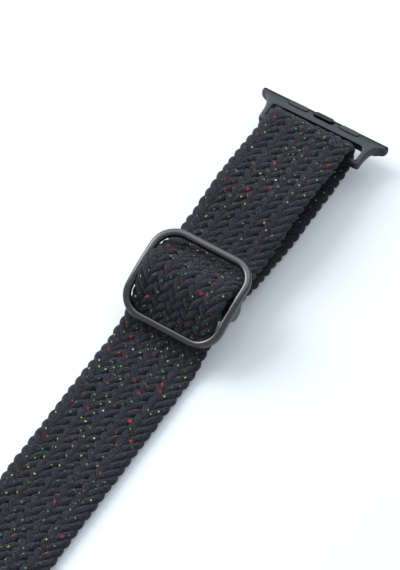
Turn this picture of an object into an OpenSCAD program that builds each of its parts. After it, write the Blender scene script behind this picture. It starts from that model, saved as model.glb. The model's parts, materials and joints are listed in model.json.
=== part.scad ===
// Adjustable stretch watch band: a flat braided strap that runs through a slider buckle and
// round a slide-in watch connector at each end. Millimetres, +Z up. The band lies flat along X
// with its outer side up: the origin is under its middle, on the surface that it lies on.

/* [Band] */
// Length from the tip of one connector to the tip of the other
band_l = 140.4; // [134:0.1:170]
// Distance from the tip of the upper connector to the buckle's centre bar
buckle_back = 49.9; // [48:0.1:52]

/* [Strap] */
// Width of the braided strap
strap_w = 17.6; // [16:0.1:18.2]
// Thickness of the braided strap
strap_t = 2.2; // [1.8:0.1:2.3]
// Inner radius of the strap's loop round the upper connector's bar
loop_inner_r = 2.4; // [2:0.1:2.5]
// Length of the sewn tail behind the lower connector's bar
fold_tail_l = 13; // [11:0.5:15]
// Length of the sewn tail behind the buckle's bar
wrap_tail_l = 5.5; // [4.5:0.1:6]
// Height at which the strap's folded end passes under the buckle's bar
wrap_lift = 3.4; // [3:0.1:3.8]
// Length over which the strap comes down again on the buckle's open side
touch_down_l = 15; // [14.5:0.5:20]
// Length over which it comes down under the upper layer
return_drop_l = 17; // [12:0.5:22]
// Length from the buckle to the top of the strap's upper bow
bow_run = 15; // [12:0.1:18]
// Height of that bow above the loop's top
bow_rise = 0.6; // [0:0.1:1]

/* [Buckle] */
// Length of the buckle's frame, along the strap and over its arch
frame_l = 19.4; // [19:0.1:21]
// Radius of the arch that the frame is bent to
frame_arch_r = 31; // [26:1:60]
// Angle at which the frame stands on the strap, with its far side up
frame_tilt = 20; // [17:0.5:22]
// Height of the middle of the frame's near bar
near_bar_z = 5.1; // [4.8:0.1:5.4]
// Width of the frame's bar, in the frame's plane
frame_bar_w = 1.5; // [1.2:0.05:1.5]
// Height of the frame's bar
frame_bar_h = 1.6; // [1.3:0.05:1.8]
// Rounding of the bar's edges
frame_edge_r = 0.5; // [0.3:0.05:0.6]
// Radius of the frame's corners, at its outer edge
frame_corner_r = 5.2; // [4:0.1:7]
// Diameter of the centre bar that holds the strap's end
centre_bar_d = 1.4; // [1.2:0.05:1.5]
// Distance of the centre bar from the frame's middle, towards the upper connector
bar_offset = 0.9; // [0:0.1:1.2]
// Thickness of the two lugs that carry the centre bar
lug_t = 0.95; // [0.8:0.05:1.1]
// Wall of metal round the centre bar's hole
lug_wall = 0.9; // [0.7:0.05:1.1]

/* [Connector] */
// Length of the rail that slides into the watch
rail_l = 28.8; // [28:0.1:30]
// Diameter of the rail's rounded head
rail_d = 2.9; // [2.8:0.05:3.1]
// Width of the rail from the strap's slot to the tip
rail_x = 3.2; // [3:0.05:3.3]
// Thickness of the neck behind the head
neck_t = 2.05; // [1.8:0.05:2.2]
// Diameter of the bar that the strap goes round
strap_bar_d = 1.7; // [1.4:0.05:1.9]
// Width of the two arms that carry the bar
arm_w = 1.1; // [1:0.05:1.4]
// Width of the rail's rounded ends, past the arms
rail_end_x = 1.5; // [1.3:0.1:1.9]
// Length of the hollow that widens each arm towards the rail
arm_hollow_l = 4.4; // [3.6:0.1:4.6]
// Angle of the flat that holds the latch and the pads
flat_tilt = 20; // [12:1:24]
// Distance between the centres of the latch and of each pad
insert_pitch = 5.8; // [5.4:0.1:6.4]

/* [Latch and pads] */
// Length of the spring latch
latch_l = 4.3; // [3.8:0.1:4.6]
// Width of the spring latch
latch_w = 1.3; // [1.1:0.05:1.4]
// Height of the latch above the flat
latch_lift = 0.4; // [0.3:0.05:0.5]
// Thickness of the metal that holds the latch's flange in
roof_t = 0.4; // [0.35:0.05:0.5]
// Width of the latch's flange past its sides
flange_w = 0.22; // [0.15:0.01:0.25]
// Thickness of the latch's flange
flange_t = 0.32; // [0.28:0.02:0.4]
// Height of the springs under the latch
spring_h = 1.15; // [1.1:0.05:1.2]
// Outer diameter of each spring
spring_d = 1.1; // [0.9:0.05:1.2]
// Diameter of the spring wire
wire_d = 0.16; // [0.12:0.01:0.18]
// Turns in each spring
spring_turns = 3; // [2:0.5:3.5]
// Thickness of the plate that closes the springs in
plate_t = 0.35; // [0.25:0.05:0.4]
// Length of each elastomer pad
pad_l = 4.3; // [3.8:0.1:4.6]
// Width of each elastomer pad
pad_w = 1.4; // [1.2:0.05:1.5]
// Depth of the pocket that a pad sits in
pad_depth = 0.9; // [0.7:0.05:1.1]
// Height of a pad above the flat
pad_lift = 0.15; // [0.1:0.05:0.25]

/* [Seams] */
// Number of stitches across the strap
stitch_count = 9; // [7:1:11]
// Length of one stitch
stitch_l = 1.15; // [0.9:0.05:1.25]
// Diameter of the sewing thread
thread_d = 0.36; // [0.3:0.02:0.42]

/* [Clearances] */
// Room between the strap and the slot that it goes through
slot_play = 0.55; // [0.5:0.05:0.7]
// Room at each end of that slot
slot_end_play = 1.5; // [1:0.1:1.7]
// Gap between the strap and a bar that it is folded round
wrap_play = 0.1; // [0.1:0.02:0.2]
// Gap between two layers of the strap
layer_play = 0.05; // [0.05:0.01:0.1]
// Gap between the strap and the folded end that it crosses on the buckle's bar
hump_play = 0.2; // [0.1:0.05:0.3]
// Gap between the strap and the frame's near bar above it
frame_play = 0.5; // [0.35:0.05:0.6]
// Gap between the strap's edges and the sides of the buckle's frame
frame_side_play = 0.4; // [0.4:0.05:0.8]
// Gap round the latch in its pocket
latch_play = 0.06; // [0.04:0.01:0.08]
// Gap round pressed and seated pieces
seat_play = 0.01; // [0.01:0.01:0.02]

/* [Hidden] */
$fn = 64;
eps = 0.01;

// Places of the bars and of the strap round them
half_t = strap_t / 2;
slot_x = strap_t + slot_play;
bar_to_tip = strap_bar_d / 2 + slot_x + rail_x;
upper_bar_x = band_l / 2 - bar_to_tip;
lower_bar_x = -upper_bar_x;
buckle_x = band_l / 2 - buckle_back;
loop_r = loop_inner_r + half_t;
loop_z = half_t + loop_r;
loop_x = upper_bar_x + strap_bar_d / 2 + wrap_play - loop_inner_r;
wrap_r = centre_bar_d / 2 + wrap_play + half_t;
wrap_z = wrap_lift + half_t;
centre_bar_z = wrap_z + wrap_r;
fold_r = strap_bar_d / 2 + wrap_play + half_t;
lower_bar_z = half_t + fold_r;
layer_step = strap_t + layer_play;

// The buckle's frame is a flat ring bent over frame_arch_r and then tilted. Its own axes have
// their origin midway between the middles of its near and far bars.
frame_mid_x = (frame_l - frame_bar_w) / 2;
frame_end_v = frame_mid_x / frame_arch_r * 180 / PI;
frame_half_chord = frame_arch_r * sin(frame_end_v);
frame_x = buckle_x - bar_offset;
frame_z = near_bar_z + frame_half_chord * sin(frame_tilt);
near_bar_x = frame_x - frame_half_chord * cos(frame_tilt);
near_bar_v = frame_tilt + frame_end_v;
function bent(p) = let (v = p[0] / frame_arch_r * 180 / PI, r = frame_arch_r + p[2])
    [r * sin(v), p[1], r * cos(v) - frame_arch_r * cos(frame_end_v)];

// Cuts between the strap's stretches, and the heights and slopes of its centre line there
far_cut_back = 9.6;
far_cut_rise = 0.7;
near_cut_back = 3.4;
return_dip = 1.25;
far_cut = [buckle_x + far_cut_back, centre_bar_z + far_cut_rise];
far_slope = -0.1;
under_bar = [near_bar_x, near_bar_z]
    + frame_bar_w / 2 * [cos(near_bar_v), sin(near_bar_v)]
    + (frame_bar_h / 2 + frame_play + half_t) * [sin(near_bar_v), -cos(near_bar_v)];
near_cut = [under_bar[0] - near_cut_back, half_t + (under_bar[1] - half_t) / 3];
near_slope = 0.35;
hump_r = wrap_r + layer_step + hump_play;
shoulder_v = 132;
bow = [far_cut[0] + bow_run, loop_z + loop_r + bow_rise];
return_cut = [far_cut[0], wrap_z - return_dip];
return_slope = -0.18;
step_l = 6.5;
fold_layer_z = half_t + layer_step;
fold_end_x = lower_bar_x + fold_tail_l;

// The strap's centre line in the XZ plane
arc_steps = 20;
curve_steps = 12;
function arc(centre, r, from, to) =
    [for (i = [0:arc_steps]) let (v = from + (to - from) * i / arc_steps)
        centre + r * [cos(v), sin(v)]];
function curve(a, b, slope_a = 0, slope_b = 0) =
    [for (i = [0:curve_steps]) let (u = i / curve_steps, l = b[0] - a[0],
            ease = u * u * (3 - 2 * u), start = u * (1 - u) * (1 - u), end = u * u * (u - 1))
        [a[0] + l * u, a[1] + (b[1] - a[1]) * ease + l * (slope_a * start + slope_b * end)]];
function height_at(p, x) = let (i = len([for (q = p) if (q[0] < x) q]), a = p[i - 1], b = p[i])
    a[1] + (b[1] - a[1]) * (x - a[0]) / (b[0] - a[0]);
wrap_foot = curve([buckle_x, wrap_z], return_cut, 0, return_slope);
wrap_end = [buckle_x + wrap_tail_l, height_at(wrap_foot, buckle_x + wrap_tail_l) + layer_step];
wrap_tail = curve(wrap_end, [buckle_x, centre_bar_z + wrap_r], -0.1);
wrap_turn = arc([buckle_x, centre_bar_z], wrap_r, 90, 270);
return_fall = curve(return_cut, [far_cut[0] + return_drop_l, half_t], return_slope, 0);
loop_turn = arc([loop_x, loop_z], loop_r, -90, 90);
upper_rise = curve(far_cut, bow, far_slope, 0);
upper_fall = curve(bow, [loop_x, loop_z + loop_r]);
hump = arc([buckle_x, centre_bar_z], hump_r, shoulder_v, 90);
pass_in = curve(near_cut, under_bar, near_slope, tan(near_bar_v));
pass_rise = curve(under_bar, hump[0], tan(near_bar_v), tan(shoulder_v - 90));
pass_out = curve([buckle_x, centre_bar_z + hump_r], far_cut, 0, far_slope);
touch_down = curve([buckle_x - touch_down_l, half_t], near_cut, 0, near_slope);
step_down = curve([fold_end_x, fold_layer_z], [fold_end_x + step_l, half_t]);
fold_turn = arc([lower_bar_x, lower_bar_z], fold_r, 90, 270);
fold_fall = curve([lower_bar_x, lower_bar_z + fold_r], [fold_end_x - step_l, fold_layer_z]);

// A stretch of strap: its centre line thickened by half a strap to each side
function way(p, i) = let (a = p[max(i - 1, 0)], b = p[min(i + 1, len(p) - 1)]) (b - a) / norm(b - a);
function end_way(p, i) = i == 0 || i == len(p) - 1 ? [sign(way(p, i)[0]), 0] : way(p, i);
function side(p, d) = [for (i = [0:len(p) - 1]) let (w = end_way(p, i)) p[i] + d * [-w[1], w[0]]];
function reversed(p) = [for (i = [len(p) - 1:-1:0]) p[i]];
function without_repeats(p) = [for (i = [0:len(p) - 1]) if (i == 0 || norm(p[i] - p[i - 1]) > eps / 2) p[i]];

module ribbon(points, width = strap_w) {
    p = without_repeats(points);
    rotate([90, 0, 0])
        linear_extrude(width, center = true)
            polygon(concat(side(p, half_t), reversed(side(p, -half_t))));
}

// Strap
strap_colour = [0.13, 0.13, 0.16];

module stitches(x, z) {
    step = strap_w / (stitch_count + 1);
    for (i = [1:stitch_count])
        translate([x, -strap_w / 2 + i * step, z])
            rotate([90, 0, 0])
                cylinder(h = stitch_l, d = thread_d, center = true);
}

wrap_seam_in = 0.9;
fold_seams_in = [5.2, 1.6];

module wrap_stitches() {
    x = wrap_end[0] - wrap_seam_in;
    stitches(x, wrap_end[1] + half_t - thread_d / 4);
}

module fold_stitches() {
    for (x = fold_seams_in)
        stitches(fold_end_x - x, fold_layer_z + half_t - thread_d / 4);
}

module strap_end_wrap() {
    color(strap_colour) difference() {
        ribbon(concat(wrap_tail, wrap_turn, wrap_foot));
        wrap_stitches();
    }
}

module strap_return_run() {
    color(strap_colour) ribbon(concat(return_fall, [[loop_x, half_t]]));
}

module strap_upper_loop() {
    color(strap_colour) ribbon(loop_turn);
}

module strap_upper_run() {
    color(strap_colour) ribbon(concat(upper_rise, upper_fall));
}

module strap_buckle_pass() {
    color(strap_colour) ribbon(concat(pass_in, pass_rise, hump, pass_out));
}

module strap_lower_run() {
    color(strap_colour) ribbon(concat(step_down, touch_down));
}

module strap_lower_fold() {
    color(strap_colour) difference() {
        ribbon(concat([[fold_end_x - layer_play, half_t]], reversed(fold_turn), fold_fall,
            [[fold_end_x, fold_layer_z]]));
        fold_stitches();
    }
}

// Buckle
frame_inner_y = strap_w / 2 + frame_side_play;
frame_mid_y = frame_inner_y + frame_bar_w / 2;
corner_mid_r = frame_corner_r - frame_bar_w / 2;
lug_y = frame_inner_y + lug_t / 2;
lug_r = centre_bar_d / 2 + lug_wall;
buckle_metal = [0.30, 0.30, 0.32];

// The bar's rounded section: across the bar, then up
section_steps = 4;
section = [for (q = [0:3], i = [0:section_steps]) let (v = 90 * q + 90 * i / section_steps,
        x = q == 0 || q == 3 ? 1 : -1, z = q < 2 ? 1 : -1)
    [x * (frame_bar_w / 2 - frame_edge_r) + frame_edge_r * cos(v),
        z * (frame_bar_h / 2 - frame_edge_r) + frame_edge_r * sin(v)]];

// The ring's route before it is bent: the place of the bar's middle and the way that is outwards
corner_steps = 9;
side_steps = 7;
corner_dx = frame_mid_x - corner_mid_r;
corner_dy = frame_mid_y - corner_mid_r;
function quarter(x, y, from) = [for (i = [0:corner_steps]) let (v = from + 90 * i / corner_steps)
    [x * corner_dx + corner_mid_r * cos(v), y * corner_dy + corner_mid_r * sin(v), v]];
function long_side(y) = [for (i = [1:side_steps - 1])
    [y * corner_dx * (1 - 2 * i / side_steps), y * frame_mid_y, y * 90]];
ring_route = concat(quarter(1, 1, 0), long_side(1), quarter(-1, 1, 90),
    quarter(-1, -1, 180), long_side(-1), quarter(1, -1, 270));

module frame_ring() {
    n = len(section);
    count = len(ring_route);
    points = [for (c = ring_route, s = section)
        bent([c[0] + s[0] * cos(c[2]), c[1] + s[0] * sin(c[2]), s[1]])];
    faces = [for (i = [0:count - 1], k = [0:n - 1])
        let (a = i * n, b = (i + 1) % count * n, m = (k + 1) % n)
            each [[a + k, a + m, b + m], [a + k, b + m, b + k]]];
    polyhedron(points, faces);
}

module in_frame() {
    translate([frame_x, 0, frame_z]) rotate([0, -frame_tilt, 0]) children();
}

// The centre bar's axis as the frame sees it, and the plate that hangs from each side bar to
// hold it, with a flank that runs further towards the frame's far side
lug_x = bar_offset * cos(frame_tilt) + (centre_bar_z - frame_z) * sin(frame_tilt);
lug_z = (centre_bar_z - frame_z) * cos(frame_tilt) - bar_offset * sin(frame_tilt);
near_flank_l = 1.3;
far_flank_l = 3.4;
flank_steps = 6;

module lug_outline() {
    near_x = lug_x - lug_r - near_flank_l;
    far_x = lug_x + lug_r + far_flank_l;
    under_side_bar = [for (i = [0:flank_steps])
        let (p = bent([near_x + (far_x - near_x) * i / flank_steps, 0, 0])) [p[0], p[2]]];
    translate([lug_x, lug_z]) circle(lug_r);
    polygon(concat(under_side_bar, [[lug_x + lug_r, lug_z], [lug_x - lug_r, lug_z]]));
}

module buckle_frame() {
    color(buckle_metal) difference() {
        in_frame() {
            frame_ring();
            for (s = [-1, 1])
                translate([0, s * lug_y, 0])
                    rotate([90, 0, 0]) linear_extrude(lug_t, center = true) lug_outline();
        }
        translate([buckle_x, 0, centre_bar_z])
            rotate([90, 0, 0])
                cylinder(h = 3 * frame_mid_y, d = centre_bar_d + 2 * seat_play, center = true);
    }
}

module buckle_centre_bar() {
    color(buckle_metal)
        translate([buckle_x, 0, centre_bar_z])
            rotate([90, 0, 0])
                cylinder(h = 2 * lug_y + lug_t, d = centre_bar_d, center = true);
}

// Connector, drawn with its bar's axis at the origin and its rail towards +X
slot_l = strap_w + 2 * slot_end_play;
arm_y = slot_l / 2 + arm_w;
head_r = rail_d / 2;
head_x = bar_to_tip - head_r;
slot_far_x = bar_to_tip - rail_x;
flat_margin = 0.12;
flat_h = sqrt(head_r * head_r - pow(pad_w / 2 + flat_margin, 2));
arm_end_r = 0.8;
bar_end_in = 0.15;
slot_corner_r = 0.8;
connector_metal = [0.25, 0.26, 0.28];

module pill(l, w, h) {
    linear_extrude(h) {
        square([w, l - w], center = true);
        for (s = [-1, 1]) translate([0, s * (l - w) / 2]) circle(w / 2);
    }
}

module at_insert(y, h) {
    translate([head_x, y, 0]) rotate([0, flat_tilt, 0]) translate([0, 0, h]) children();
}

module side_outline() {
    circle(strap_bar_d / 2);
    translate([head_x, 0]) circle(head_r);
    translate([slot_far_x, head_r - neck_t]) square([rail_x - head_r, neck_t]);
    polygon([[0, -strap_bar_d / 2], [slot_far_x, head_r - neck_t], [slot_far_x, head_r],
        [0, strap_bar_d / 2]]);
}

module plan_outline() {
    nose_r = rail_end_x / 2;
    nose_y = rail_l / 2 - nose_r;
    hollow_x = bar_to_tip - rail_end_x - arm_hollow_l;
    beyond = rail_l;
    difference() {
        translate([-strap_bar_d / 2, -rail_l / 2]) square([bar_to_tip + strap_bar_d / 2, rail_l]);
        for (s = [-1, 1]) scale([1, s]) {
            translate([hollow_x, nose_y]) scale([arm_hollow_l, nose_y - arm_y]) circle(1);
            translate([-beyond, arm_y]) square([beyond + hollow_x, beyond]);
            translate([-beyond, nose_y]) difference() {
                square(2 * beyond);
                translate([beyond + bar_to_tip - nose_r, 0]) circle(nose_r);
            }
            translate([-strap_bar_d / 2, arm_y - arm_end_r]) difference() {
                translate([-eps, 0]) square(arm_end_r + eps);
                translate([arm_end_r, 0]) circle(arm_end_r);
            }
        }
    }
}

module end_outline() {
    square([rail_l - rail_d, rail_d], center = true);
    for (s = [-1, 1]) translate([s * (rail_l - rail_d) / 2, 0]) circle(head_r);
}

// The slot between the arms, rounded where it meets the rail
module slot_outline() {
    r = slot_corner_r;
    open_x = -strap_bar_d;
    for (s = [-1, 1]) translate([slot_far_x - r, s * (slot_l / 2 - r)]) circle(r);
    translate([open_x, -slot_l / 2]) square([slot_far_x - r - open_x, slot_l]);
    translate([open_x, -slot_l / 2 + r]) square([slot_far_x - open_x, slot_l - 2 * r]);
}

module strap_bar() {
    rotate([90, 0, 0]) cylinder(h = slot_l + 2 * bar_end_in, d = strap_bar_d, center = true);
}

module connector() {
    color(connector_metal) {
        strap_bar();
        difference() {
            intersection() {
                rotate([90, 0, 0]) linear_extrude(rail_l, center = true) side_outline();
                translate([0, 0, -head_r]) linear_extrude(rail_d) plan_outline();
                rotate([90, 0, 90]) linear_extrude(2 * bar_to_tip, center = true) end_outline();
            }
            translate([0, 0, -rail_d]) linear_extrude(2 * rail_d) slot_outline();
            at_insert(0, flat_h) translate([-rail_d, -rail_l, 0]) cube([2 * rail_d, 2 * rail_l, rail_d]);
            for (s = [-1, 1])
                at_insert(s * insert_pitch, flat_h - pad_depth) pill(pad_l, pad_w, rail_d);
            at_insert(0, -head_r) pill(latch_l + 2 * latch_play, latch_w + 2 * latch_play, 2 * head_r);
            at_insert(0, -2 * head_r) pill(pocket_l, pocket_w, 2 * head_r + flat_h - roof_t);
        }
    }
}

pocket_l = latch_l + 2 * flange_w + 2 * latch_play;
pocket_w = latch_w + 2 * flange_w + 2 * latch_play;
flange_top = flat_h - roof_t - seat_play;
spring_top = flange_top - flange_t - seat_play;
spring_foot = spring_top - spring_h;

module latch() {
    color([0.62, 0.63, 0.65]) {
        at_insert(0, flange_top - flange_t) pill(latch_l + 2 * flange_w, latch_w + 2 * flange_w, flange_t);
        at_insert(0, flange_top - eps) pill(latch_l, latch_w, flat_h + latch_lift - flange_top + eps);
    }
}

module latch_plate() {
    color([0.45, 0.45, 0.47])
        at_insert(0, spring_foot - seat_play - plate_t)
            pill(pocket_l - 2 * seat_play, pocket_w - 2 * seat_play, plate_t);
}

module pad(s) {
    color([0.12, 0.12, 0.13])
        at_insert(s * insert_pitch, flat_h - pad_depth + seat_play)
            pill(pad_l - 2 * seat_play, pad_w - 2 * seat_play, pad_depth - seat_play + pad_lift);
}

// A spring's wire, swept round its axis with a flat ring at each end of its climb
spring_steps = 10;
wire_sides = 6;

module spring(s) {
    count = ceil(spring_turns * spring_steps);
    mid_r = (spring_d - wire_d) / 2;
    rings = [for (i = [0:count], k = [0:wire_sides - 1])
        let (turn = 360 * i / spring_steps, v = 360 * k / wire_sides,
            r = mid_r + wire_d / 2 * cos(v),
            climb = wire_d / 2 + (spring_h - wire_d) * i / count)
        [r * cos(turn), r * sin(turn), climb + wire_d / 2 * sin(v)]];
    ends = [[for (k = [0:wire_sides - 1]) k],
        [for (k = [wire_sides - 1:-1:0]) count * wire_sides + k]];
    walls = [for (i = [0:count - 1], k = [0:wire_sides - 1])
        let (a = i * wire_sides, n = (k + 1) % wire_sides)
        [a + k, a + k + wire_sides, a + n + wire_sides, a + n]];
    split = [for (w = walls) each [[w[0], w[1], w[2]], [w[0], w[2], w[3]]]];
    color([0.6, 0.6, 0.6])
        at_insert(s * latch_l / 4, spring_foot) polyhedron(rings, concat(ends, split));
}

module upper_end() {
    translate([upper_bar_x, 0, loop_z]) children();
}

module lower_end() {
    translate([lower_bar_x, 0, lower_bar_z]) rotate([0, 0, 180]) children();
}

strap_end_wrap();
strap_return_run();
strap_upper_loop();
strap_upper_run();
strap_buckle_pass();
strap_lower_run();
strap_lower_fold();
color("black") wrap_stitches();  // wrap_seam_thread
color("black") fold_stitches();  // fold_seam_thread
buckle_frame();
buckle_centre_bar();
upper_end() connector();  // upper_connector
upper_end() latch();  // upper_latch
upper_end() spring(1);  // upper_latch_spring_left
upper_end() spring(-1);  // upper_latch_spring_right
upper_end() latch_plate();  // upper_latch_plate
upper_end() pad(1);  // upper_pad_left
upper_end() pad(-1);  // upper_pad_right
lower_end() connector();  // lower_connector
lower_end() latch();  // lower_latch
lower_end() spring(1);  // lower_latch_spring_left
lower_end() spring(-1);  // lower_latch_spring_right
lower_end() latch_plate();  // lower_latch_plate
lower_end() pad(1);  // lower_pad_left
lower_end() pad(-1);  // lower_pad_right
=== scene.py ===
import json
import math

import bmesh
import bpy
import numpy as np
from mathutils import Matrix, Vector


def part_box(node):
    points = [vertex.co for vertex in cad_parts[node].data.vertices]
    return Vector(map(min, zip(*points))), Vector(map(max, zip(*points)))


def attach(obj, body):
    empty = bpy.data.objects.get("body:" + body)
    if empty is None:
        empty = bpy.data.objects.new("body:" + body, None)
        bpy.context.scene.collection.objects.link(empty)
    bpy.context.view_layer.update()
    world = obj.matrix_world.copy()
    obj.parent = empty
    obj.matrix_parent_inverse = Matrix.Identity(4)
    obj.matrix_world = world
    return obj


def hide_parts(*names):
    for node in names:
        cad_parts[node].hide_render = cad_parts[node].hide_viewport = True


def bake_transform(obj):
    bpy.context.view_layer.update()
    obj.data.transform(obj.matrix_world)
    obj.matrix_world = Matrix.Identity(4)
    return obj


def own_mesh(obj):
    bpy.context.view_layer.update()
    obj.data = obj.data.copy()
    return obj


mm = 0.001

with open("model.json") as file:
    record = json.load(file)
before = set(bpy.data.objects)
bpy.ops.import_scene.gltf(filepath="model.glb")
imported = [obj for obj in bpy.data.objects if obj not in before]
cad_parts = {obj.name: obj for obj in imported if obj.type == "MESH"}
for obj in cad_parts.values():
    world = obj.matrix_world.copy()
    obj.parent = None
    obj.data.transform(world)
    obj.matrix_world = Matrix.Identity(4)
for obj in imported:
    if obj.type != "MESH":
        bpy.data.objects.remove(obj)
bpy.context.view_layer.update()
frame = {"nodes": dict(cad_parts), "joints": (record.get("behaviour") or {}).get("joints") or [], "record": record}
scene = bpy.context.scene
jointAt = {j["name"]: Vector(j["pos_m"]) for j in frame["joints"] if "pos_m" in j}
print("frame loaded")


# Small helpers for node trees


def addNode(tree, kind, inputs=None, **settings):
    node = tree.nodes.new(kind)
    for name, value in settings.items():
        setattr(node, name, value)
    for key, value in (inputs or {}).items():
        feed(tree, value, node.inputs[key])
    return node


def feed(tree, value, socket):
    if isinstance(value, bpy.types.NodeSocket):
        tree.links.new(value, socket)
    elif isinstance(value, bpy.types.Node):
        tree.links.new(value.outputs[0], socket)
    else:
        socket.default_value = value


def calc(tree, operation, *values):
    node = addNode(tree, "ShaderNodeMath", dict(enumerate(values)), operation=operation)
    return node.outputs[0]


def vecCalc(tree, operation, *values):
    node = addNode(tree, "ShaderNodeVectorMath", dict(enumerate(values)), operation=operation)
    return node.outputs["Value" if operation == "DOT_PRODUCT" else "Vector"]


def scaled(tree, vector, factor):
    sockets = {"Vector": vector, "Scale": factor}
    return addNode(tree, "ShaderNodeVectorMath", sockets, operation="SCALE").outputs["Vector"]


def softLimit(tree, value):
    return calc(tree, "MINIMUM", calc(tree, "MAXIMUM", value, -1), 1)


def mapped(tree, value, start, end, low=0.0, high=1.0, **settings):
    return addNode(tree, "ShaderNodeMapRange", {
        "Value": value, "From Min": start, "From Max": end, "To Min": low, "To Max": high,
    }, **settings).outputs[0]


def mixedColour(tree, factor, first, second):
    node = addNode(tree, "ShaderNodeMix", {"Factor": factor, 6: first, 7: second}, data_type="RGBA")
    return node.outputs[2]


def noise(tree, place, scale, detail):
    sockets = {"Vector": place, "Scale": scale, "Detail": detail}
    return addNode(tree, "ShaderNodeTexNoise", sockets).outputs


def attribute(tree, name):
    return addNode(tree, "ShaderNodeAttribute", attribute_name=name).outputs["Fac"]


def stored(tree, geometry, name, value, kind="FLOAT"):
    return addNode(tree, "GeometryNodeStoreNamedAttribute", {
        "Geometry": geometry, "Name": name, "Value": value,
    }, data_type=kind, domain="POINT").outputs[0]


def addSockets(tree, direction, sockets):
    for name, kind, default in sockets:
        socket = tree.interface.new_socket(
            name, in_out=direction, socket_type="NodeSocket" + kind)
        if default is not None:
            socket.default_value = default


def newMaterial(name):
    material = bpy.data.materials.new(name)
    material.use_nodes = True
    material.node_tree.nodes.clear()
    return material


def finishMaterial(material, shaderInputs):
    tree = material.node_tree
    shader = addNode(tree, "ShaderNodeBsdfPrincipled", shaderInputs)
    addNode(tree, "ShaderNodeOutputMaterial", {"Surface": shader})
    return material


# Camera at the photograph's place

photoCamera = {
    "imageHeight": 570,
    "azimuth": 57.28,
    "elevation": 55.9,
    "roll": -0.32,
    "distance": 444.3 * mm,
    "focalPixels": 2351,
    "aim": (22.2 * mm, 0, 3 * mm),
    "aimRight": 0.76 * mm,
    "aimAway": 1.92 * mm,
}


def placeCamera(s):
    az, el, roll = (math.radians(s[k]) for k in ("azimuth", "elevation", "roll"))
    away = Vector((math.sin(az), math.cos(az), 0))
    right = Vector((math.cos(az), -math.sin(az), 0))
    ahead = away * math.cos(el) - Vector((0, 0, math.sin(el)))
    up = right.cross(ahead)
    aim = Vector(s["aim"]) + right * s["aimRight"] + away * s["aimAway"]
    place = aim - ahead * s["distance"]
    x = right * math.cos(roll) + up * math.sin(roll)
    y = up * math.cos(roll) - right * math.sin(roll)
    data = bpy.data.cameras.new("photoCamera")
    data.sensor_width = 36
    data.lens = s["focalPixels"] * data.sensor_width / s["imageHeight"]
    data.clip_start, data.clip_end = 0.01, 10
    camera = bpy.data.objects.new("photoCamera", data)
    turn = Matrix((x, y, -ahead)).transposed()
    camera.matrix_world = Matrix.Translation(place) @ turn.to_4x4()
    scene.collection.objects.link(camera)
    scene.camera = camera


placeCamera(photoCamera)
print("camera placed")

# Stage: a softly lit white table, a large lamp on the far left, and an even sky with a brighter
# patch high behind the band, so that the metal has something light and something dark to reflect

stage = {
    "tableSize": 3.0,
    "tableColour": (0.80, 0.825, 0.855, 1),
    "tableGlow": 0.14,
    "tableGlowColour": (0.84, 0.93, 1.0, 1),
    "lampPlace": (0.06, 0.46, 0.40),
    "lampSize": 0.36,
    "lampPower": 2.6,
    "lampColour": (1.0, 0.99, 0.97),
    "glowDirection": (0.60, 0.30, 0.74),
    "glowFrom": 0.70,
    "glowTo": 0.93,
    "dim": 0.5,
    "bright": 1.9,
    "skyColour": (0.88, 0.94, 1.0, 1),
}


def makeStage(s):
    half = s["tableSize"] / 2
    mesh = bpy.data.meshes.new("table")
    corners = [(-half, -half, 0), (half, -half, 0), (half, half, 0), (-half, half, 0)]
    mesh.from_pydata(corners, [], [(0, 1, 2, 3)])
    table = bpy.data.objects.new("table", mesh)
    scene.collection.objects.link(table)
    material = newMaterial("tableTop")
    seen = addNode(material.node_tree, "ShaderNodeLightPath").outputs["Is Camera Ray"]
    finishMaterial(material, {
        "Base Color": s["tableColour"], "Roughness": 0.9, "Specular IOR Level": 0.1,
        "Emission Color": s["tableGlowColour"],
        "Emission Strength": calc(material.node_tree, "MULTIPLY", seen, s["tableGlow"]),
    })
    mesh.materials.append(material)

    lamp = bpy.data.lights.new("softLamp", "AREA")
    lamp.size = s["lampSize"]
    lamp.energy = s["lampPower"]
    lamp.color = s["lampColour"]
    lampObject = bpy.data.objects.new("softLamp", lamp)
    lampObject.location = s["lampPlace"]
    lampObject.rotation_euler = (-Vector(s["lampPlace"])).to_track_quat("-Z", "Y").to_euler()
    scene.collection.objects.link(lampObject)

    world = bpy.data.worlds.new("sky")
    world.use_nodes = True
    tree = world.node_tree
    tree.nodes.clear()
    direction = addNode(tree, "ShaderNodeTexCoord").outputs["Generated"]
    towards = vecCalc(tree, "DOT_PRODUCT", direction, Vector(s["glowDirection"]).normalized())
    glow = mapped(tree, towards, s["glowFrom"], s["glowTo"], s["dim"], s["bright"],
                  interpolation_type="SMOOTHSTEP")
    seen = addNode(tree, "ShaderNodeLightPath").outputs["Is Camera Ray"]
    strength = addNode(tree, "ShaderNodeMix", {"Factor": seen, "A": glow, "B": 1.0}).outputs[0]
    sky = addNode(tree, "ShaderNodeBackground", {"Color": s["skyColour"], "Strength": strength})
    addNode(tree, "ShaderNodeOutputWorld", {"Surface": sky})
    scene.world = world
    scene.view_settings.view_transform = "Standard"


makeStage(stage)
print("stage made")

# The strap's route: the centre line that the whole strap follows, from the tail sewn down at the
# lower connector to the end folded round the buckle's bar. Millimetres, in the XZ plane, apart
# from a slight sway to one side at the buckle.

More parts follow.
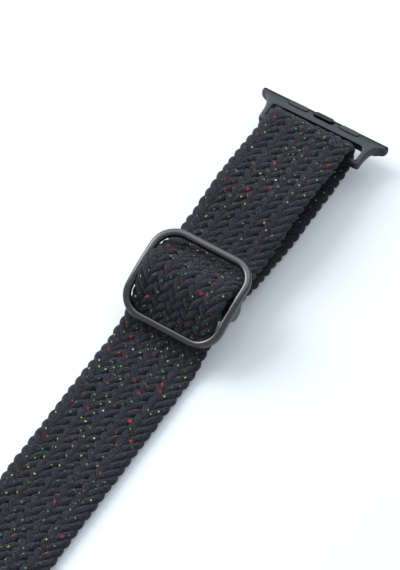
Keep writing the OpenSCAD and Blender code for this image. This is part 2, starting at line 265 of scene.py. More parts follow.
buckleShape = {
    "length": 19.4,
    "archR": 31,
    "tilt": 20,
    "nearBarZ": 5.1,
    "barW": 1.5,
    "barH": 1.6,
    "barOffset": 0.9,
    "strapGap": 0.5,
}
route = {
    "thickness": 2.2,
    "layerGap": 0.05,
    "wrapGap": 0.1,
    "passGap": 0.2,
    "strapBarR": 0.85,
    "centreBarR": 0.7,
    "loopInnerR": 2.4,
    "loopBulge": 0.13,
    "foldTail": 13,
    "foldStep": 6.5,
    "wrapTail": 5.5,
    "farCut": (9.6, 0.7),
    "returnDrop": 1.25,
    "returnFall": 17,
    "bowRun": 15,
    "bowRise": 0.6,
    "touchDown": 15,
    "nearCutBack": 3.4,
    "shoulder": 132,
    "nearSlope": 0.35,
    "farSlope": -0.1,
    "returnSlope": -0.18,
    "tailSlope": -0.1,
    "sway": 0.42,
    "swayReach": 7,
    "arcSteps": 24,
    "curveSteps": 16,
    "leastStep": 0.005,
}


def arcPoints(centre, r, start, end):
    turns = np.radians(np.linspace(start, end, route["arcSteps"] + 1))
    return [(centre[0] + r * math.cos(v), centre[1] + r * math.sin(v)) for v in turns]


def easePoints(a, b, slopeA=0.0, slopeB=0.0):
    points = []
    run = b[0] - a[0]
    for u in np.linspace(0, 1, route["curveSteps"] + 1):
        ease = u * u * (3 - 2 * u)
        lean = slopeA * u * (1 - u) ** 2 + slopeB * u * u * (u - 1)
        points.append((a[0] + run * u, a[1] + (b[1] - a[1]) * ease + run * lean))
    return points


def bucklePlaces(s):
    low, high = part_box("buckle_centre_bar")
    bar = (low + high) / 2 / mm
    endTurn = (s["length"] - s["barW"]) / 2 / s["archR"]
    tilt = math.radians(s["tilt"])
    frameX = bar.x - s["barOffset"]
    reach = s["archR"] * math.sin(endTurn)
    slope = tilt + endTurn
    off = s["barH"] / 2 + s["strapGap"] + route["thickness"] / 2
    near = (frameX - reach * math.cos(tilt), s["nearBarZ"])
    underBar = (near[0] + s["barW"] / 2 * math.cos(slope) + off * math.sin(slope),
                near[1] + s["barW"] / 2 * math.sin(slope) - off * math.cos(slope))
    return {"bar": bar, "endTurn": endTurn, "tilt": tilt, "frameX": frameX,
            "frameZ": near[1] + reach * math.sin(tilt), "slope": slope, "underBar": underBar}


def strapStretches(s):
    half = s["thickness"] / 2
    buckle = bucklePlaces(buckleShape)
    bar, underBar = buckle["bar"], buckle["underBar"]
    layer = s["thickness"] + s["layerGap"]
    low, high = jointAt["lower_hinge"] / mm, jointAt["upper_hinge"] / mm
    foldR = s["strapBarR"] + s["wrapGap"] + half
    foldEnd = low.x + s["foldTail"]
    foldZ = half + layer
    wrapR = s["centreBarR"] + s["wrapGap"] + half
    wrapZ = bar.z - wrapR
    passR = wrapR + layer + s["passGap"]
    loopR = s["loopInnerR"] + half + s["loopBulge"]
    loop = (high.x + s["strapBarR"] + s["wrapGap"] - s["loopInnerR"], half + loopR)
    farCut = (bar.x + s["farCut"][0], bar.z + s["farCut"][1])
    nearCut = (underBar[0] - s["nearCutBack"], half + (underBar[1] - half) / 3)
    bow = (farCut[0] + s["bowRun"], loop[1] + loopR + s["bowRise"])
    returnCut = (farCut[0], wrapZ - s["returnDrop"])
    barSlope = math.tan(buckle["slope"])
    shoulderSlope = math.tan(math.radians(s["shoulder"] - 90))
    hump = arcPoints((bar.x, bar.z), passR, s["shoulder"], 90)
    foot = easePoints((bar.x, wrapZ), returnCut, 0, s["returnSlope"])
    tailX = bar.x + s["wrapTail"]
    tailZ = np.interp(tailX, [p[0] for p in foot], [p[1] for p in foot]) + layer
    tail = easePoints((tailX, tailZ), (bar.x, bar.z + wrapR), s["tailSlope"])
    fall = easePoints(returnCut, (farCut[0] + s["returnFall"], half), s["returnSlope"])
    return {
        "strapLowerFold": [(foldEnd - s["layerGap"], half)]
        + arcPoints((low.x, low.z), foldR, 270, 90)
        + easePoints((low.x, low.z + foldR), (foldEnd - s["foldStep"], foldZ))
        + [(foldEnd, foldZ)],
        "strapLowerRun": easePoints((foldEnd, foldZ), (foldEnd + s["foldStep"], half))
        + easePoints((bar.x - s["touchDown"], half), nearCut, 0, s["nearSlope"]),
        "strapBucklePass": easePoints(nearCut, underBar, s["nearSlope"], barSlope)
        + easePoints(underBar, hump[0], barSlope, shoulderSlope)
        + hump
        + easePoints((bar.x, bar.z + passR), farCut, 0, s["farSlope"]),
        "strapUpperRun": easePoints(farCut, bow, s["farSlope"])
        + easePoints(bow, (loop[0], loop[1] + loopR)),
        "strapUpperLoop": arcPoints(loop, loopR, 90, -90),
        "strapReturnRun": [(loop[0], half)] + fall[::-1],
        "strapEndWrap": foot[::-1] + arcPoints((bar.x, bar.z), wrapR, 270, 90) + tail[::-1],
    }


def routeCurve(stretches):
    points, marks = [], {}
    travelled = 0.0
    passX = [p[0] for p in stretches["strapBucklePass"]]
    middle = (min(passX) + max(passX)) / 2
    for name, stretch in stretches.items():
        start = travelled
        for x, z in stretch:
            p = (x, route["sway"] * math.exp(-((x - middle) / route["swayReach"]) ** 2), z)
            if points:
                step = math.dist(p, points[-1])
                if step < route["leastStep"]:
                    continue
                travelled += step
            points.append(p)
        marks[name] = (start * mm, travelled * mm)
    data = bpy.data.curves.new("strapRoute", "CURVE")
    data.dimensions = "3D"
    spline = data.splines.new("POLY")
    spline.points.add(len(points) - 1)
    for place, p in zip(spline.points, points):
        place.co = (*(value * mm for value in p), 1)
    return data, marks


strapRoute, strapMarks = routeCurve(strapStretches(route))
strapLength = strapMarks["strapEndWrap"][1]
print(f"strap route {strapLength / mm:.0f} mm long")

# The braid: every strand swings from edge to edge, passes over two others, then under two, and is
# on top where it comes to an edge

braid = {
    "strands": 21,
    "edgePitch": 2.16 * mm,
    "width": 16.85 * mm,
    "edgeRound": 0.997,
    "lift": 0.3 * mm,
    "strandWidth": 1.55 * mm,
    "strandThick": 1.4 * mm,
    "overGain": 1.2,
    "ringStep": 0.36 * mm,
    "sides": 12,
    "wander": 0.12 * mm,
    "wanderGain": 4,
    "wanderRate": 400,
    "wanderSeed": 7.3,
    "turnGain": 6,
    "edgeColumns": 1.5,
    "overColumn": 3.5,
}


def braidTree():
    tree = bpy.data.node_groups.new("flatBraid", "GeometryNodeTree")
    addSockets(tree, "INPUT", [
        ("Route", "Geometry", None),
        ("From", "Float", 0.0),
        ("To", "Float", 0.1),
        ("Strands", "Int", braid["strands"]),
        ("Edge Pitch", "Float", braid["edgePitch"]),
        ("Width", "Float", braid["width"]),
        ("Edge Round", "Float", braid["edgeRound"]),
        ("Lift", "Float", braid["lift"]),
        ("Over Gain", "Float", braid["overGain"]),
        ("Strand Width", "Float", braid["strandWidth"]),
        ("Strand Thickness", "Float", braid["strandThick"]),
        ("Ring Step", "Float", braid["ringStep"]),
        ("Sides", "Int", braid["sides"]),
        ("Wander", "Float", braid["wander"]),
        ("Yarn", "Material", None),
    ])
    addSockets(tree, "OUTPUT", [("Braid", "Geometry", None)])
    given = tree.nodes.new("NodeGroupInput").outputs
    run = calc(tree, "SUBTRACT", given["To"], given["From"])
    rings = calc(tree, "ADD", calc(tree, "CEIL", calc(tree, "DIVIDE", run, given["Ring Step"])), 1)
    line = addNode(tree, "GeometryNodeCurvePrimitiveLine", {"Start": (0, 0, 0), "End": (1, 0, 0)})
    ringLine = addNode(tree, "GeometryNodeResampleCurve", {"Curve": line, "Count": rings})
    copies = addNode(tree, "GeometryNodeDuplicateElements",
                     {"Geometry": ringLine, "Amount": given["Strands"]}, domain="SPLINE")
    strand = copies.outputs["Duplicate Index"]
    share = tree.nodes.new("GeometryNodeSplineParameter").outputs["Factor"]
    along = calc(tree, "MULTIPLY_ADD", share, run, given["From"])

    # where the strand is across the strap: swing goes from -1 at one edge to 1 at the other
    period = calc(tree, "MULTIPLY", given["Strands"], given["Edge Pitch"])
    turns = calc(tree, "ADD", calc(tree, "DIVIDE", along, period),
                 calc(tree, "DIVIDE", strand, given["Strands"]))
    angle = calc(tree, "MULTIPLY", calc(tree, "SUBTRACT", turns, 0.25), 2 * math.pi)
    rounded = calc(tree, "MULTIPLY", calc(tree, "SINE", angle), given["Edge Round"])
    swing = calc(tree, "DIVIDE", calc(tree, "ARCSINE", rounded),
                 calc(tree, "ARCSINE", given["Edge Round"]))
    across = calc(tree, "MULTIPLY", swing, calc(tree, "MULTIPLY", given["Width"], 0.5))

    # which strand is on top changes every two columns, and each strand turns over at the edges
    column = calc(tree, "MULTIPLY", calc(tree, "MULTIPLY_ADD", swing, 0.5, 0.5), given["Strands"])
    lastColumn = calc(tree, "SUBTRACT", given["Strands"], braid["edgeColumns"])
    column = calc(tree, "MINIMUM", calc(tree, "MAXIMUM", column, braid["edgeColumns"]), lastColumn)
    phase = calc(tree, "MULTIPLY", calc(tree, "SUBTRACT", column, braid["overColumn"]), math.pi / 2)
    weave = calc(tree, "MULTIPLY", given["Over Gain"], calc(tree, "COSINE", phase))
    turned = calc(tree, "MULTIPLY", calc(tree, "COSINE", angle), braid["turnGain"])
    over = calc(tree, "MULTIPLY", softLimit(tree, weave), softLimit(tree, turned))
    height = calc(tree, "MULTIPLY", given["Lift"], over)

    onRoute = addNode(tree, "GeometryNodeSampleCurve",
                      {"Curves": given["Route"], "Length": along}, mode="LENGTH")
    tangent = vecCalc(tree, "NORMALIZE", onRoute.outputs["Tangent"])
    outward = vecCalc(tree, "NORMALIZE", vecCalc(tree, "CROSS_PRODUCT", tangent, (0, 1, 0)))
    seedPlace = addNode(tree, "ShaderNodeCombineXYZ", {
        "X": calc(tree, "MULTIPLY", along, braid["wanderRate"]),
        "Y": calc(tree, "MULTIPLY", strand, braid["wanderSeed"]),
    })
    wander = noise(tree, seedPlace, 1.0, 1.0)
    shift = scaled(tree, vecCalc(tree, "SUBTRACT", wander["Color"], (0.5, 0.5, 0.5)),
                   calc(tree, "MULTIPLY", given["Wander"], braid["wanderGain"]))
    place = vecCalc(tree, "ADD", onRoute.outputs["Position"],
                    addNode(tree, "ShaderNodeCombineXYZ", {"Y": across}).outputs[0])
    place = vecCalc(tree, "ADD", vecCalc(tree, "ADD", place, scaled(tree, outward, height)), shift)

    # what the yarn's material reads, and how each strand stands on the strap
    named = copies.outputs["Geometry"]
    for name, value in (("yarnAlong", along), ("yarnStrand", strand), ("yarnOver", over)):
        named = stored(tree, named, name, value)
    named = stored(tree, named, "outward", outward, kind="FLOAT_VECTOR")
    strands = addNode(tree, "GeometryNodeSetPosition", {"Geometry": named, "Position": place})
    runs = tree.nodes.new("GeometryNodeInputTangent").outputs[0]
    facing = addNode(tree, "GeometryNodeInputNamedAttribute", {"Name": "outward"},
                     data_type="FLOAT_VECTOR").outputs["Attribute"]
    lean = scaled(tree, runs, vecCalc(tree, "DOT_PRODUCT", facing, runs))
    square = vecCalc(tree, "NORMALIZE", vecCalc(tree, "SUBTRACT", facing, lean))
    strands = addNode(tree, "GeometryNodeSetCurveNormal",
                      {"Curve": strands, "Normal": square}, mode="FREE")

    circle = addNode(tree, "GeometryNodeCurvePrimitiveCircle",
                     {"Resolution": given["Sides"], "Radius": 0.5})
    around = stored(tree, circle, "yarnAround",
                    tree.nodes.new("GeometryNodeSplineParameter").outputs["Factor"])
    flat = addNode(tree, "ShaderNodeCombineXYZ",
                   {"X": given["Strand Thickness"], "Y": given["Strand Width"], "Z": 1.0})
    oval = addNode(tree, "GeometryNodeTransform", {"Geometry": around, "Scale": flat})
    tube = addNode(tree, "GeometryNodeCurveToMesh",
                   {"Curve": strands, "Profile Curve": oval, "Fill Caps": True})
    smooth = addNode(tree, "GeometryNodeSetShadeSmooth", {"Geometry": tube})
    whole = addNode(tree, "GeometryNodeRealizeInstances", {"Geometry": smooth})
    dressed = addNode(tree, "GeometryNodeSetMaterial",
                      {"Geometry": whole, "Material": given["Yarn"]})
    addNode(tree, "NodeGroupOutput", {"Braid": dressed})
    return tree


def socketId(tree, name):
    return next(s.identifier for s in tree.interface.items_tree
                if s.name == name and s.in_out == "INPUT")


def evaluatedPiece(name, source, tree, values):
    worker = bpy.data.objects.new(name + "Worker", source)
    scene.collection.objects.link(worker)
    modifier = worker.modifiers.new("shape", "NODES")
    modifier.node_group = tree
    for key, value in values.items():
        modifier[socketId(tree, key)] = value
    bpy.context.view_layer.update()
    shaped = worker.evaluated_get(bpy.context.evaluated_depsgraph_get())
    mesh = bpy.data.meshes.new_from_object(shaped)
    mesh.name = name
    bpy.data.objects.remove(worker)
    piece = bpy.data.objects.new(name, mesh)
    scene.collection.objects.link(piece)
    return piece


# Yarn: charcoal fibres that run along each strand, with short flecks of coloured thread

yarn = {
    "dark": (0.0045, 0.005, 0.0075),
    "light": (0.0262, 0.0279, 0.0425),
    "plies": 6,
    "plyTwist": 8 * mm,
    "plyDepth": 0.3,
    "lumpScale": 1500.0,
    "lumpDepth": 1.5,
    "fuzzScale": 3000.0,
    "fuzzDepth": 2.6,
    "hueSpread": 0.9,
    "relief": 0.13 * mm,
    "reliefStrength": 0.9,
    "patchScale": 300.0,
    "heightTone": 0.7,
    "patchTone": 0.7,
    "leastTone": 0.05,
    "fleckCell": 1.1 * mm,
    "fleckShare": 0.8,
    "crowdScale": 170.0,
    "crowdFrom": 0.25,
    "crowdGain": 4,
    "around": 4.6 * mm,
    "fleckReach": 0.155 * mm,
    "redReach": 0.34 * mm,
    "onTopFrom": 0.7,
    "alongSpread": 0.3,
    "aroundSpread": 0.24,
    "spotEdge": (1.1, 0.6),
    "coreEdge": (0.7, 0.3),
    "coreLight": 0.3,
    "redCoreLoss": 0.7,
    "faintFrom": 0.4,
    "faintTo": 0.1,
    "red": (0.39, 0.005, 0.018, 1),
    "green": (0.006, 0.4, 0.1, 1),
    "yellow": (0.62, 0.6, 0.11, 1),
    "white": (0.85, 0.85, 0.88, 1),
    "redUpTo": 0.13,
    "greenUpTo": 0.54,
    "yellowUpTo": 0.97,
    "surface": {
        "Roughness": 0.85, "Specular IOR Level": 0.2, "Sheen Weight": 0.12, "Sheen Roughness": 0.6,
    },
}


def yarnColour(tree, s, along, around, place):
    twist = calc(tree, "MULTIPLY_ADD", along, 1 / s["plyTwist"], around)
    ply = calc(tree, "SINE", calc(tree, "MULTIPLY", twist, math.pi * s["plies"]))
    lumps = noise(tree, place, s["lumpScale"], 2.0)
    fuzz = noise(tree, place, s["fuzzScale"], 2.0)
    patches = noise(tree, place, s["patchScale"], 2.0)
    rough = calc(tree, "MULTIPLY_ADD", lumps["Fac"], s["lumpDepth"],
                 calc(tree, "MULTIPLY", fuzz["Fac"], s["fuzzDepth"]))
    height = calc(tree, "MULTIPLY_ADD", calc(tree, "ABSOLUTE", ply), s["plyDepth"],
                  calc(tree, "SUBTRACT", rough, (s["lumpDepth"] + s["fuzzDepth"]) / 2))
    # painted shade: the lower the relief, the darker the yarn, on top of random patches
    toneWithGrooveShade = calc(tree, "MULTIPLY_ADD", height, s["heightTone"],
                calc(tree, "MULTIPLY_ADD", patches["Fac"], s["patchTone"], s["leastTone"]))
    hue = vecCalc(tree, "MULTIPLY_ADD", fuzz["Color"], (s["hueSpread"],) * 3, toneWithGrooveShade)
    mixture = vecCalc(tree, "SUBTRACT", hue, (s["hueSpread"] / 2,) * 3)
    base = vecCalc(tree, "MULTIPLY_ADD", mixture, Vector(s["light"]) - Vector(s["dark"]), s["dark"])
    return height, vecCalc(tree, "MAXIMUM", base, s["dark"])


def fleckColour(tree, s, along, around, place):
    strand, over = attribute(tree, "yarnStrand"), attribute(tree, "yarnOver")
    cell = calc(tree, "DIVIDE", along, s["fleckCell"])
    seed = addNode(tree, "ShaderNodeCombineXYZ", {"X": calc(tree, "FLOOR", cell), "Y": strand})
    draw = addNode(tree, "ShaderNodeTexWhiteNoise", {"Vector": seed}, noise_dimensions="3D").outputs
    split = addNode(tree, "ShaderNodeSeparateColor", {"Color": draw["Color"]}).outputs
    crowd = calc(tree, "SUBTRACT", noise(tree, place, s["crowdScale"], 1.0)["Fac"], s["crowdFrom"])
    share = calc(tree, "MULTIPLY", crowd, s["fleckShare"] * s["crowdGain"])
    holds = calc(tree, "LESS_THAN", draw["Value"], share)
    kind = split[2]
    isRed = calc(tree, "LESS_THAN", kind, s["redUpTo"])

    # how far a point of the strand is from the fleck in its cell, along the strand and around it
    reach = calc(tree, "MULTIPLY_ADD", isRed, s["redReach"] - s["fleckReach"], s["fleckReach"])
    centre = calc(tree, "MULTIPLY_ADD", split[0], s["alongSpread"], 0.5 - s["alongSpread"] / 2)
    offAlong = calc(tree, "MULTIPLY", calc(tree, "SUBTRACT", calc(tree, "FRACT", cell), centre),
                    s["fleckCell"])
    face = calc(tree, "MULTIPLY", calc(tree, "LESS_THAN", over, 0), 0.5)
    side = calc(tree, "MULTIPLY_ADD", split[1], s["aroundSpread"], -s["aroundSpread"] / 2)
    turn = calc(tree, "SUBTRACT", around, calc(tree, "ADD", face, side))
    offAround = calc(tree, "MULTIPLY", calc(tree, "PINGPONG", turn, 0.5), s["around"])
    distance = calc(tree, "SQRT", calc(tree, "ADD", calc(tree, "POWER", offAlong, 2),
                                       calc(tree, "POWER", offAround, 2)))
    distance = calc(tree, "DIVIDE", distance, reach)

    # flecks show only where their strand is outermost, and the nearer a cell comes to holding none,
    # the fainter its fleck
    shown = calc(tree, "GREATER_THAN", calc(tree, "ABSOLUTE", over), s["onTopFrom"])
    faint = mapped(tree, calc(tree, "DIVIDE", draw["Value"], share), s["faintFrom"], 1.0,
                   1.0, s["faintTo"])
    mask = calc(tree, "MULTIPLY", calc(tree, "MULTIPLY", holds, shown),
                mapped(tree, distance, *s["spotEdge"]))
    mask = calc(tree, "MULTIPLY", mask, faint)
    colour = s["red"]
    for kept, following in (("red", "green"), ("green", "yellow"), ("yellow", "white")):
        past = calc(tree, "GREATER_THAN", kind, s[kept + "UpTo"])
        colour = mixedColour(tree, past, colour, s[following])
    # painted highlight: each fleck whitens towards its centre, red ones less
    glint = mapped(tree, distance, *s["coreEdge"], 0.0, s["coreLight"])
    whole = calc(tree, "SUBTRACT", 1.0, calc(tree, "MULTIPLY", isRed, s["redCoreLoss"]))
    return mask, mixedColour(tree, calc(tree, "MULTIPLY", glint, whole), colour, s["white"])


def yarnMaterial(s):
    material = newMaterial("braidedYarn")
    tree = material.node_tree
    along, around = attribute(tree, "yarnAlong"), attribute(tree, "yarnAround")
    place = addNode(tree, "ShaderNodeTexCoord").outputs["Object"]

    # plies twist slowly round the strand, under lumps and a fine fuzz; the yarn is painted darker where this
    # relief is low, painted shade in the grooves
    height, base = yarnColour(tree, s, along, around, place)

    # each strand is cut into short cells along its length, and some of them hold a fleck
    mask, fleck = fleckColour(tree, s, along, around, place)
    bump = addNode(tree, "ShaderNodeBump", {
        "Height": height, "Strength": s["reliefStrength"], "Distance": s["relief"],
    })
    return finishMaterial(material, {
        "Base Color": mixedColour(tree, mask, base, fleck), "Normal": bump, **s["surface"],
    })


yarnLook = yarnMaterial(yarn)
flatBraid = braidTree()

strapBodies = {
    "strapLowerFold": ("strap_lower_fold", ["lower_end"]),
    "strapLowerRun": ("strap_lower_run", ["lower_end", "buckle"]),
    "strapBucklePass": ("strap_buckle_pass", ["buckle"]),
    "strapUpperRun": ("strap_upper_run", ["buckle", "upper_end"]),
    "strapUpperLoop": ("strap_upper_loop", ["upper_end"]),
    "strapReturnRun": ("strap_return_run", ["buckle", "upper_end"]),
    "strapEndWrap": ("strap_end_wrap", ["buckle"]),
}

for pieceName, (node, bodies) in strapBodies.items():
    start, end = strapMarks[pieceName]
    piece = evaluatedPiece(pieceName, strapRoute, flatBraid,
                           {"From": start, "To": end, "Yarn": yarnLook})
    if len(bodies) == 2:
        low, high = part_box(node)
        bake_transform(piece)
    else:
        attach(piece, bodies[0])
    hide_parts(node)
    print(pieceName, len(piece.data.polygons), "faces")

# Metals, rubber and thread

grain = {
    "scale": 5000.0,
    "roughness": 0.35,
    "depth": 0.004 * mm,
    "detail": 4.0,
    "strength": 0.5,
    "wearScale": 260.0,
    "wearDetail": 3.0,
    "spread": 0.08,
}
# painted shade: the connector's far rim is mixed towards black where the rail's rounded head turns away from the
# light
farRimPaintedShade = {"from": 1.05 * mm, "to": 0.6 * mm, "share": 0.8}


def grainGroup(s):
    tree = bpy.data.node_groups.new("fineGrain", "ShaderNodeTree")
    addSockets(tree, "INPUT", [
        ("Scale", "Float", s["scale"]),
        ("Roughness", "Float", s["roughness"]),
        ("Spread", "Float", s["spread"]),
        ("Depth", "Float", s["depth"]),
    ])
    addSockets(tree, "OUTPUT", [
        ("Roughness", "Float", None),
        ("Normal", "Vector", None),
        ("Tone", "Float", None),
    ])
    given = tree.nodes.new("NodeGroupInput").outputs
    place = addNode(tree, "ShaderNodeTexCoord").outputs["Object"]
    fine = noise(tree, place, given["Scale"], s["detail"])["Fac"]
    wear = noise(tree, place, s["wearScale"], s["wearDetail"])["Fac"]
    rough = calc(tree, "MULTIPLY_ADD", calc(tree, "SUBTRACT", wear, 0.5), given["Spread"],
                 given["Roughness"])
    bump = addNode(tree, "ShaderNodeBump",
                   {"Height": fine, "Strength": s["strength"], "Distance": given["Depth"]})
    addNode(tree, "NodeGroupOutput", {"Roughness": rough, "Normal": bump, "Tone": wear})
    return tree


fineGrain = grainGroup(grain)


# painted shade mask: from about a millimetre inside the connector's far edge, the colour fades to a fifth and the
# rest is black
def farRimPaintedShadeMask(tree, s):
    inMesh = addNode(tree, "ShaderNodeTexCoord").outputs["Object"]
    x = addNode(tree, "ShaderNodeSeparateXYZ", {"Vector": inMesh}).outputs["X"]
    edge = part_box("upper_connector")[1].x
    return mapped(tree, calc(tree, "ABSOLUTE", x), edge - s["from"], edge - s["to"],
                  1.0, 1 - s["share"])


def solidMaterial(name, dark, light, roughness, grainScale, metallic=1.0, paintFarRimShade=False):
    material = newMaterial(name)
    tree = material.node_tree
    surface = addNode(tree, "ShaderNodeGroup", node_tree=fineGrain)
    surface.inputs["Roughness"].default_value = roughness
    surface.inputs["Scale"].default_value = grainScale
    colour = mixedColour(tree, surface.outputs["Tone"], (*dark, 1), (*light, 1))
    # painted shade on the far rim, mixed towards black
    if paintFarRimShade:
        colour = mixedColour(tree, farRimPaintedShadeMask(tree, farRimPaintedShade), (0, 0, 0, 1), colour)
    return finishMaterial(material, {
        "Base Color": colour, "Metallic": metallic,
        "Roughness": surface.outputs["Roughness"], "Normal": surface.outputs["Normal"],
    })


# for each slot: its name, its darkest and lightest colour, its roughness and the scale of its grain
finishes = {
    "buckle_metal": ("gunmetalSatin", (0.092, 0.091, 0.095), (0.118, 0.117, 0.122), 0.28, 4000.0),
    "connector_metal": ("blastedGrey", (0.056, 0.06, 0.067), (0.07, 0.075, 0.083), 0.42, 6000.0),
    "latch_metal": ("polishedDark", (0.03, 0.03, 0.034), (0.04, 0.04, 0.045), 0.1, 3000.0),
    "spring_wire": ("springWire", (0.5, 0.5, 0.5), (0.6, 0.6, 0.6), 0.25, 3000.0),
    "plate_metal": ("stampedPlate", (0.35, 0.35, 0.36), (0.42, 0.42, 0.43), 0.35, 4000.0),
    "pad_rubber": ("darkElastomer", (0.025, 0.025, 0.028), (0.035, 0.035, 0.04), 0.5, 3000.0),
    "thread": ("blackThread", (0.01, 0.01, 0.012), (0.02, 0.02, 0.024), 0.7, 3000.0),
}
looks = {
    slot: solidMaterial(*finish, metallic=0.0 if slot in ("pad_rubber", "thread") else 1.0,
                        paintFarRimShade=slot == "connector_metal")
    for slot, finish in finishes.items()
}

# Softened metal and rubber: each is a copy of its CAD solid with its edges rounded over

soften = {
    "connector": {"voxel": 0.085 * mm, "passes": 36, "keep": 0.22},
    "latch": {"voxel": 0.045 * mm, "passes": 8, "keep": 0.5},
    "pad_left": {"voxel": 0.045 * mm, "passes": 5, "keep": 0.5},
    "pad_right": {"voxel": 0.045 * mm, "passes": 5, "keep": 0.5},
}
weldDistance = 0.001 * mm
behaviour = frame["record"]["behaviour"]
slotOf = {row["node"]: row["material_slot"] for row in frame["record"]["subparts"]}
bodyOf = {node: body for body, nodes in behaviour["bodies"].items() for node in nodes}


def weldedCopy(name, mesh):
    bm = bmesh.new()
    bm.from_mesh(mesh)
    bmesh.ops.remove_doubles(bm, verts=bm.verts, dist=weldDistance)
    welded = bpy.data.meshes.new(name)
    bm.to_mesh(welded)
    bm.free()
    return welded


def softened(name, mesh, s, material):
    worker = bpy.data.objects.new(name + "Worker", weldedCopy(name + "Source", mesh))
    scene.collection.objects.link(worker)
    remesh = worker.modifiers.new("remesh", "REMESH")
    remesh.mode = "VOXEL"
    remesh.voxel_size = s["voxel"]
    smooth = worker.modifiers.new("smooth", "SMOOTH")
    smooth.factor, smooth.iterations = 0.5, s["passes"]
    thin = worker.modifiers.new("thin", "DECIMATE")
    thin.ratio = s["keep"]
    bpy.context.view_layer.update()
    evaluated = worker.evaluated_get(bpy.context.evaluated_depsgraph_get())
    shaped = bpy.data.meshes.new_from_object(evaluated)
    bpy.data.objects.remove(worker)
    shaped.name = name
    shaped.materials.clear()
    shaped.materials.append(material)
    shaped.polygons.foreach_set("use_smooth", [True] * len(shaped.polygons))
    piece = bpy.data.objects.new(name, shaped)
    scene.collection.objects.link(piece)
    return piece


def place(piece, node):
    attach(piece, bodyOf[node])
    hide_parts(node)
    print(piece.name, len(piece.data.polygons), "faces")


for end in ("upper", "lower"):
    for kind, settings in soften.items():
        node = f"{end}_{kind}"
        pieceName = end + "".join(word.capitalize() for word in kind.split("_"))
        cadMesh = frame["nodes"][node].data
        place(softened(pieceName, cadMesh, settings, looks[slotOf[node]]), node)

# Latch springs: copies of the CAD's coils, a pair for each latch that can be pressed


def makeSpring(name, node):
    mesh = weldedCopy(name, frame["nodes"][node].data)
    mesh.polygons.foreach_set("use_smooth", [True] * len(mesh.polygons))
    mesh.materials.append(looks["spring_wire"])
    piece = bpy.data.objects.new(name, mesh)
    scene.collection.objects.link(piece)
    place(piece, node)
    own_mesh(piece)


for joint in behaviour["joints"]:
    if joint["name"].endswith("latch_press"):
        end = joint["name"].split("_")[0]
        for side in ("left", "right"):
            springName = f"{end}Spring{side.capitalize()}"
            makeSpring(springName, f"{end}_latch_spring_{side}")

# Buckle frame: the CAD's bent ring with a finer sweep and a rounder bar, and its two lugs

buckleRing = {
    **buckleShape,
    "edgeR": 0.6,
    "cornerR": 5.2,
    "lugT": 0.99,
    "lugInset": 0.02,
    "lugR": 1.6,
    "nearFlank": 1.3,
    "farFlank": 3.4,
    "innerY": 9.2,
    "cornerSteps": 24,
    "sideSteps": 28,
    "sectionSteps": 8,
    "flankSteps": 16,
    "voxel": 0.075 * mm,
    "passes": 6,
    "keep": 0.35,
}


def bentPoint(s, x, y, z):
    turn = x / s["archR"]
    end = (s["length"] - s["barW"]) / 2 / s["archR"]
    r = s["archR"] + z
    return Vector((r * math.sin(turn), y, r * math.cos(turn) - s["archR"] * math.cos(end)))


def ringMesh(s):
    half = (s["length"] - s["barW"]) / 2
    midY = s["innerY"] + s["barW"] / 2
    cornerR = s["cornerR"] - s["barW"] / 2
    cornerX, cornerY = half - cornerR, midY - cornerR
    section = []
    for quarter in range(4):
        sx, sz = (1, -1, -1, 1)[quarter], (1, 1, -1, -1)[quarter]
        for i in range(s["sectionSteps"] + 1):
            turn = math.radians(90 * (quarter + i / s["sectionSteps"]))
            section.append((sx * (s["barW"] / 2 - s["edgeR"]) + s["edgeR"] * math.cos(turn),
                            sz * (s["barH"] / 2 - s["edgeR"]) + s["edgeR"] * math.sin(turn)))
    path = []
    for quarter, (sx, sy) in enumerate(((1, 1), (-1, 1), (-1, -1), (1, -1))):
        for i in range(s["cornerSteps"] + 1):
            turn = math.radians(90 * (quarter + i / s["cornerSteps"]))
            path.append((sx * cornerX + cornerR * math.cos(turn),
                         sy * cornerY + cornerR * math.sin(turn), turn))
        if quarter in (0, 2):
            for i in range(1, s["sideSteps"]):
                x = sy * cornerX * (1 - 2 * i / s["sideSteps"])
                path.append((x, sy * midY, sy * math.pi / 2))
    bm = bmesh.new()
    rings = []
    for x, y, turn in path:
        outX, outY = math.cos(turn), math.sin(turn)
        rings.append([bm.verts.new(bentPoint(s, x + across * outX, y + across * outY, up))
                      for across, up in section])
    for a, b in zip(rings, rings[1:] + rings[:1]):
        for k in range(len(section)):
            m = (k + 1) % len(section)
            bm.faces.new((a[k], b[k], b[m], a[m]))
    return bm


def addLugs(bm, s, lugX, lugZ):
    nearX, farX = lugX - s["lugR"] - s["nearFlank"], lugX + s["lugR"] + s["farFlank"]
    steps = range(s["flankSteps"] + 1)
    bent = [bentPoint(s, nearX + (farX - nearX) * i / s["flankSteps"], 0, 0) for i in steps]
    outline = [(p.x, p.z) for p in bent]
    for i in steps:
        turn = -math.pi * i / s["flankSteps"]
        outline.append((lugX + s["lugR"] * math.cos(turn), lugZ + s["lugR"] * math.sin(turn)))
    for side in (-1, 1):
        inner, outer = side * (s["innerY"] + s["lugInset"]), side * (s["innerY"] + s["lugT"])
        near = [bm.verts.new((x, inner, z)) for x, z in outline]
        far = [bm.verts.new((x, outer, z)) for x, z in outline]
        bm.faces.new(near)
        bm.faces.new(far)
        for i in range(len(outline)):
            j = (i + 1) % len(outline)
            bm.faces.new((near[i], near[j], far[j], far[i]))


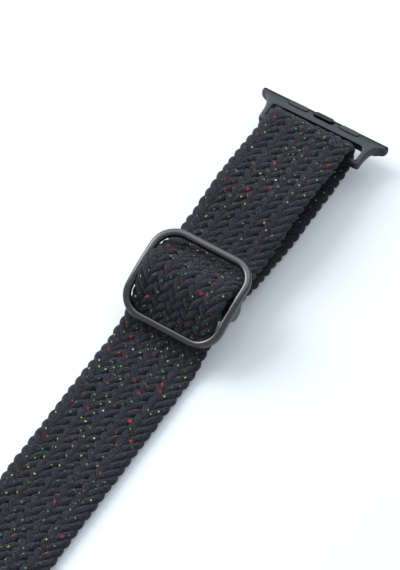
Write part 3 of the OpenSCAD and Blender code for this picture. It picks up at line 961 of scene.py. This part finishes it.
def makeBuckle(s):
    places = bucklePlaces(s)
    tilt = places["tilt"]
    drop = places["bar"].z - places["frameZ"]
    bm = ringMesh(s)
    addLugs(bm, s, s["barOffset"] * math.cos(tilt) + drop * math.sin(tilt),
            drop * math.cos(tilt) - s["barOffset"] * math.sin(tilt))
    centre = Matrix.Translation((places["frameX"], 0, places["frameZ"]))
    stand = centre @ Matrix.Rotation(-tilt, 4, "Y")
    bmesh.ops.transform(bm, matrix=Matrix.Scale(mm, 4) @ stand, verts=bm.verts)
    bmesh.ops.recalc_face_normals(bm, faces=bm.faces)
    mesh = bpy.data.meshes.new("buckleRingSource")
    bm.to_mesh(mesh)
    bm.free()
    return softened("buckleRing", mesh, s, looks["buckle_metal"])


place(makeBuckle(buckleRing), "buckle_frame")

# Seams: rows of short stitches across the strap, each one an arc of thread that dips at its ends

seams = {
    "stitches": 9,
    "rowGap": 3.6 * mm,
    "stitch": 1.15 * mm,
    "dip": 0.3 * mm,
    "thread": 0.36 * mm,
    "arcSteps": 10,
    "sides": 8,
}


def seamTree():
    tree = bpy.data.node_groups.new("seamStitches", "GeometryNodeTree")
    addSockets(tree, "INPUT", [
        ("Base", "Geometry", None),
        ("Corner", "Vector", None),
        ("Rows", "Int", 1),
        ("Row Gap", "Float", seams["rowGap"]),
        ("Stitches", "Int", seams["stitches"]),
        ("Step", "Float", 1.5 * mm),
        ("Stitch", "Float", seams["stitch"]),
        ("Dip", "Float", seams["dip"]),
        ("Thread", "Float", seams["thread"]),
        ("Arc Steps", "Int", seams["arcSteps"]),
        ("Sides", "Int", seams["sides"]),
        ("Finish", "Material", None),
    ])
    addSockets(tree, "OUTPUT", [("Seam", "Geometry", None)])
    given = tree.nodes.new("NodeGroupInput").outputs
    index = tree.nodes.new("GeometryNodeInputIndex").outputs[0]
    row = calc(tree, "FLOOR", calc(tree, "DIVIDE", index, given["Stitches"]))
    column = calc(tree, "SUBTRACT", index, calc(tree, "MULTIPLY", row, given["Stitches"]))
    offset = addNode(tree, "ShaderNodeCombineXYZ", {
        "X": calc(tree, "MULTIPLY", row, given["Row Gap"]),
        "Y": calc(tree, "MULTIPLY", column, given["Step"]),
    })
    points = addNode(tree, "GeometryNodePoints", {
        "Count": calc(tree, "MULTIPLY", given["Rows"], given["Stitches"]),
        "Position": vecCalc(tree, "ADD", given["Corner"], offset.outputs[0]),
    })
    half = calc(tree, "DIVIDE", given["Stitch"], 2)
    back = calc(tree, "MULTIPLY", half, -1)
    down = calc(tree, "MULTIPLY", given["Dip"], -1)
    arc = addNode(tree, "GeometryNodeCurveQuadraticBezier", {
        "Resolution": given["Arc Steps"],
        "Start": addNode(tree, "ShaderNodeCombineXYZ", {"Y": back, "Z": down}),
        "Middle": addNode(tree, "ShaderNodeCombineXYZ", {"Z": given["Dip"]}),
        "End": addNode(tree, "ShaderNodeCombineXYZ", {"Y": half, "Z": down}),
    })
    circle = addNode(tree, "GeometryNodeCurvePrimitiveCircle", {
        "Resolution": given["Sides"], "Radius": calc(tree, "DIVIDE", given["Thread"], 2)})
    tube = addNode(tree, "GeometryNodeCurveToMesh",
                   {"Curve": arc, "Profile Curve": circle, "Fill Caps": True})
    copies = addNode(tree, "GeometryNodeInstanceOnPoints", {"Points": points, "Instance": tube})
    whole = addNode(tree, "GeometryNodeRealizeInstances", {"Geometry": copies})
    smooth = addNode(tree, "GeometryNodeSetShadeSmooth", {"Geometry": whole})
    dressed = addNode(tree, "GeometryNodeSetMaterial",
                      {"Geometry": smooth, "Material": given["Finish"]})
    addNode(tree, "NodeGroupOutput", {"Seam": dressed})
    return tree


stitchedSeam = seamTree()
seamRows = {"wrapSeam": ("wrap_seam_thread", 1), "foldSeam": ("fold_seam_thread", 2)}
for pieceName, (node, rows) in seamRows.items():
    low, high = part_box(node)
    half = seams["thread"] / 2
    corner = (low.x + half, low.y + seams["stitch"] / 2, high.z - half)
    step = (high.y - low.y - seams["stitch"]) / (seams["stitches"] - 1)
    gap = high.x - low.x - seams["thread"]
    base = bpy.data.meshes.new(pieceName + "Base")
    place(evaluatedPiece(pieceName, base, stitchedSeam, {
        "Corner": corner, "Rows": rows, "Row Gap": gap, "Step": step, "Finish": looks["thread"],
    }), node)

for name, node in frame["nodes"].items():
    if not node.hide_render:
        node.data.materials.clear()
        node.data.materials.append(looks[slotOf[name]])
print("finishes given")
